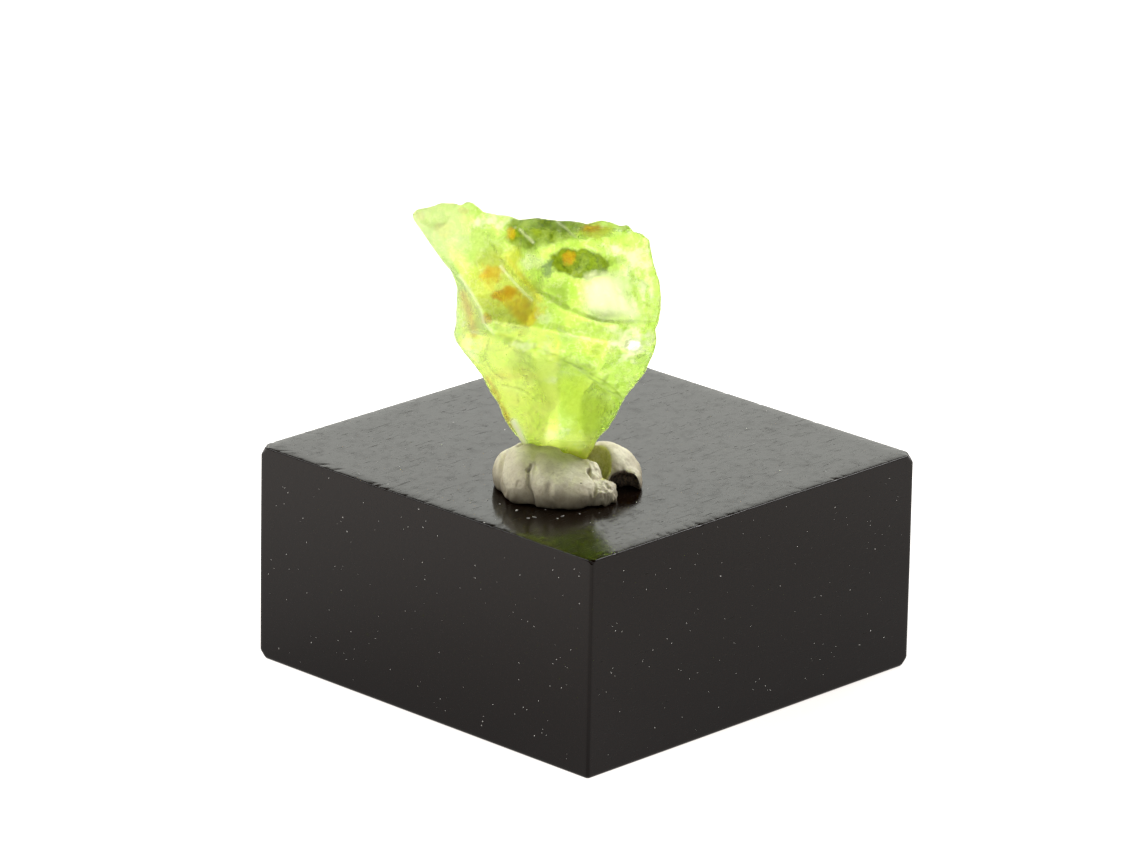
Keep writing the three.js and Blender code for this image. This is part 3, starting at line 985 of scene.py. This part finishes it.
def add_fibre(shape, place, length, angle):
    """A short bent fibre lying on the block's top."""
    along = Vector((math.cos(angle), math.sin(angle), 0))
    side = Vector((-math.sin(angle), math.cos(angle), 0))
    rings = []
    for k in range(FIBRE_STEPS + 1):
        t = k / FIBRE_STEPS - 0.5
        centre = place + along * length * t + side * length * 0.25 * (t * t - 0.25) + UP * FIBRE_THICK
        ring = []
        for n in range(FIBRE_SIDES):
            turn = math.tau * n / FIBRE_SIDES
            out = side * math.cos(turn) + UP * math.sin(turn)
            ring.append(shape.verts.new(centre + FIBRE_THICK * out))
        rings.append(ring)
    tube(shape, rings)


def dust():
    """One piece with all the specks and fibres that lie on the block."""
    shape = bmesh.new()
    for _ in range(TOP_SPECKS):
        x, y = dice.uniform(-TOP_SPREAD, TOP_SPREAD), dice.uniform(-TOP_SPREAD, TOP_SPREAD)
        place = Vector((x, y, BLOCK_HEIGHT))
        if (place - MOUNT_PLACE).length < PUTTY_CLEAR:
            continue
        add_speck(shape, place, dice.choice(TOP_SIZES), UP)
    for out in (Vector((-1, 0, 0)), Vector((0, -1, 0)), Vector((1, 0, 0)), Vector((0, 1, 0))):
        along = Vector((-out.y, out.x, 0))
        for _ in range(SIDE_SPECKS):
            place = out * (BLOCK_SIDE / 2) + along * dice.uniform(-SIDE_SPREAD, SIDE_SPREAD)
            place += UP * dice.uniform(*SIDE_HEIGHTS)
            add_speck(shape, place, dice.choice(SIDE_SIZES), out)
    for right, away, size in FRONT_DUST:
        add_speck(shape, MOUNT @ Vector((right, away, 0)), size, UP)
    for right, away, length, angle in FRONT_LINT:
        add_fibre(shape, MOUNT @ Vector((right, away, 0)), length, FACING + angle)
    piece = new_piece("dust_and_lint", new_mesh("dust", shape))
    set_down(piece, Matrix.Identity(4), dust_look())


# The studio

# The backdrop is brightest in a level band behind the part, and dim where the room is.
BACKDROP_LIGHT = 2.35
BACKDROP_HEIGHT = math.radians(15)
ROOM_LIGHT = 0.15
# The share of that light at the foot of the band and above it.
LOW_SHARE = 0.7
HIGH_SHARE = 0.08
# Where the light changes: from 30 to 14 degrees off the middle, and at two heights.
BACKDROP_FADE = (math.cos(math.radians(30)), math.cos(math.radians(14)))
LOW_FADE = (math.sin(math.radians(4)), math.sin(math.radians(12)))
HIGH_FADE = (math.sin(math.radians(21)), math.sin(math.radians(25)))

# The floor's radius in metres, and its glow at two distances from the part in millimetres. Between
# two distances to the right the glow falls to a share of itself.
FLOOR_RADIUS = 3.0
FLOOR_GLOW = (1.0, 2.0)
FLOOR_GLOW_FROM = (14.0, 50.0)
FLOOR_RIGHT_SHARE = 0.66
FLOOR_RIGHT_FROM = (5.0, 35.0)

# All lights look at this point, in metres.
LIGHT_AIM = Vector((-0.004, -0.003, 0.015))


def camera_axes():
    """The camera's way back, right and up."""
    turn, lift = CAMERA_AZIMUTH, CAMERA_ELEVATION
    back = Vector((math.sin(turn) * math.cos(lift), -math.cos(turn) * math.cos(lift), math.sin(lift)))
    level = Vector((math.cos(turn), math.sin(turn), 0))
    high = back.cross(level)
    roll, tilt = math.cos(CAMERA_ROLL), math.sin(CAMERA_ROLL)
    return back, roll * level + tilt * high, roll * high - tilt * level


def backdrop():
    """The light that comes from all around, as described above."""
    world = bpy.data.worlds.new("studio")
    world.use_nodes = True
    nodes, links = world.node_tree.nodes, world.node_tree.links
    back, _, _ = camera_axes()
    way = nodes.new("ShaderNodeTexCoord").outputs["Generated"]
    toward = nodes.new("ShaderNodeVectorMath")
    toward.operation = "DOT_PRODUCT"
    behind = Vector((-back.x, -back.y, 0)).normalized()
    toward.inputs[1].default_value = behind * math.cos(BACKDROP_HEIGHT) + UP * math.sin(BACKDROP_HEIGHT)
    level = nodes.new("ShaderNodeSeparateXYZ")
    links.new(way, toward.inputs[0])
    links.new(way, level.inputs[0])
    strength = None
    for value, fade, to_low, to_high in (
        (toward.outputs["Value"], BACKDROP_FADE, ROOM_LIGHT, BACKDROP_LIGHT),
        (level.outputs["Z"], LOW_FADE, LOW_SHARE, 1.0),
        (level.outputs["Z"], HIGH_FADE, 1.0, HIGH_SHARE),
    ):
        part = nodes.new("ShaderNodeMapRange")
        part.interpolation_type = "SMOOTHSTEP"
        links.new(value, part.inputs["Value"])
        for key, number in zip(("From Min", "From Max", "To Min", "To Max"), (*fade, to_low, to_high)):
            part.inputs[key].default_value = number
        if strength:
            both = nodes.new("ShaderNodeMath")
            both.operation = "MULTIPLY"
            links.new(strength, both.inputs[0])
            links.new(part.outputs["Result"], both.inputs[1])
            strength = both.outputs[0]
        else:
            strength = part.outputs["Result"]
    links.new(strength, nodes["Background"].inputs["Strength"])
    nodes["Background"].inputs["Color"].default_value = (0.98, 1.0, 0.94, 1)
    bpy.context.scene.world = world


def pale_floor(right):
    """A round floor with a soft glow that is weaker near the part and on its right."""
    look = Look("pale_floor")
    shade = look.mix(look.noise(0.02, 2.0), (0.15, 0.15, 0.148), (0.16, 0.16, 0.157))
    away = look.add("ShaderNodeVectorMath", {0: look.place}, operation="LENGTH")
    aside = look.add("ShaderNodeVectorMath", {0: look.place, 1: right}, operation="DOT_PRODUCT")
    around = look.band(away.outputs["Value"], *FLOOR_GLOW_FROM, *FLOOR_GLOW)
    across = look.band(aside.outputs["Value"], *FLOOR_RIGHT_FROM, 1.0, FLOOR_RIGHT_SHARE)
    look.finish(
        Base_Color=shade, Roughness=0.8,
        Emission_Color=(1.0, 0.96, 0.92, 1.0), Emission_Strength=look.maths(around, across, "MULTIPLY"),
    )
    shape = bmesh.new()
    bmesh.ops.create_circle(shape, cap_ends=True, radius=FLOOR_RADIUS, segments=96)
    floor = new_piece("floor", new_mesh("floor", shape))
    floor.data.materials.append(look.material)


def studio():
    """The backdrop, the floor and the three lights, placed in metres from the part."""
    backdrop()
    back, right, up = camera_axes()
    pale_floor(right)
    for name, place, size, power in (
        ("key", up * 0.5 - right * 0.38, 0.35, 3.4),
        ("rim", up * 0.46 + right * 0.34 - back * 0.14, 0.3, 4.4),
        ("lamp", back * 0.4 + right * 0.06 + up * 0.18, 0.07, 0.2),
    ):
        light = bpy.data.lights.new(name, "AREA")
        light.shape = "SQUARE"
        light.size = size
        light.energy = power
        lamp = new_piece(name, light)
        lamp.location = place
        lamp.rotation_euler = (LIGHT_AIM - place).to_track_quat("-Z", "Y").to_euler()


def camera():
    """The camera of the photograph."""
    back, right, up = camera_axes()
    lens = bpy.data.cameras.new("camera")
    lens.lens = CAMERA_LENS
    lens.sensor_width = CAMERA_SENSOR
    lens.clip_start = 0.01
    eye = new_piece("camera", lens)
    turn = Matrix((right, up, back)).transposed().to_4x4()
    eye.matrix_world = Matrix.Translation((CAMERA_TARGET + back * CAMERA_DISTANCE) * MM) @ turn
    bpy.context.scene.camera = eye
    bpy.context.scene.view_settings.view_transform = "Standard"


stone_piece = stone()
putty(stone_piece)
block()
dust()
studio()
camera()
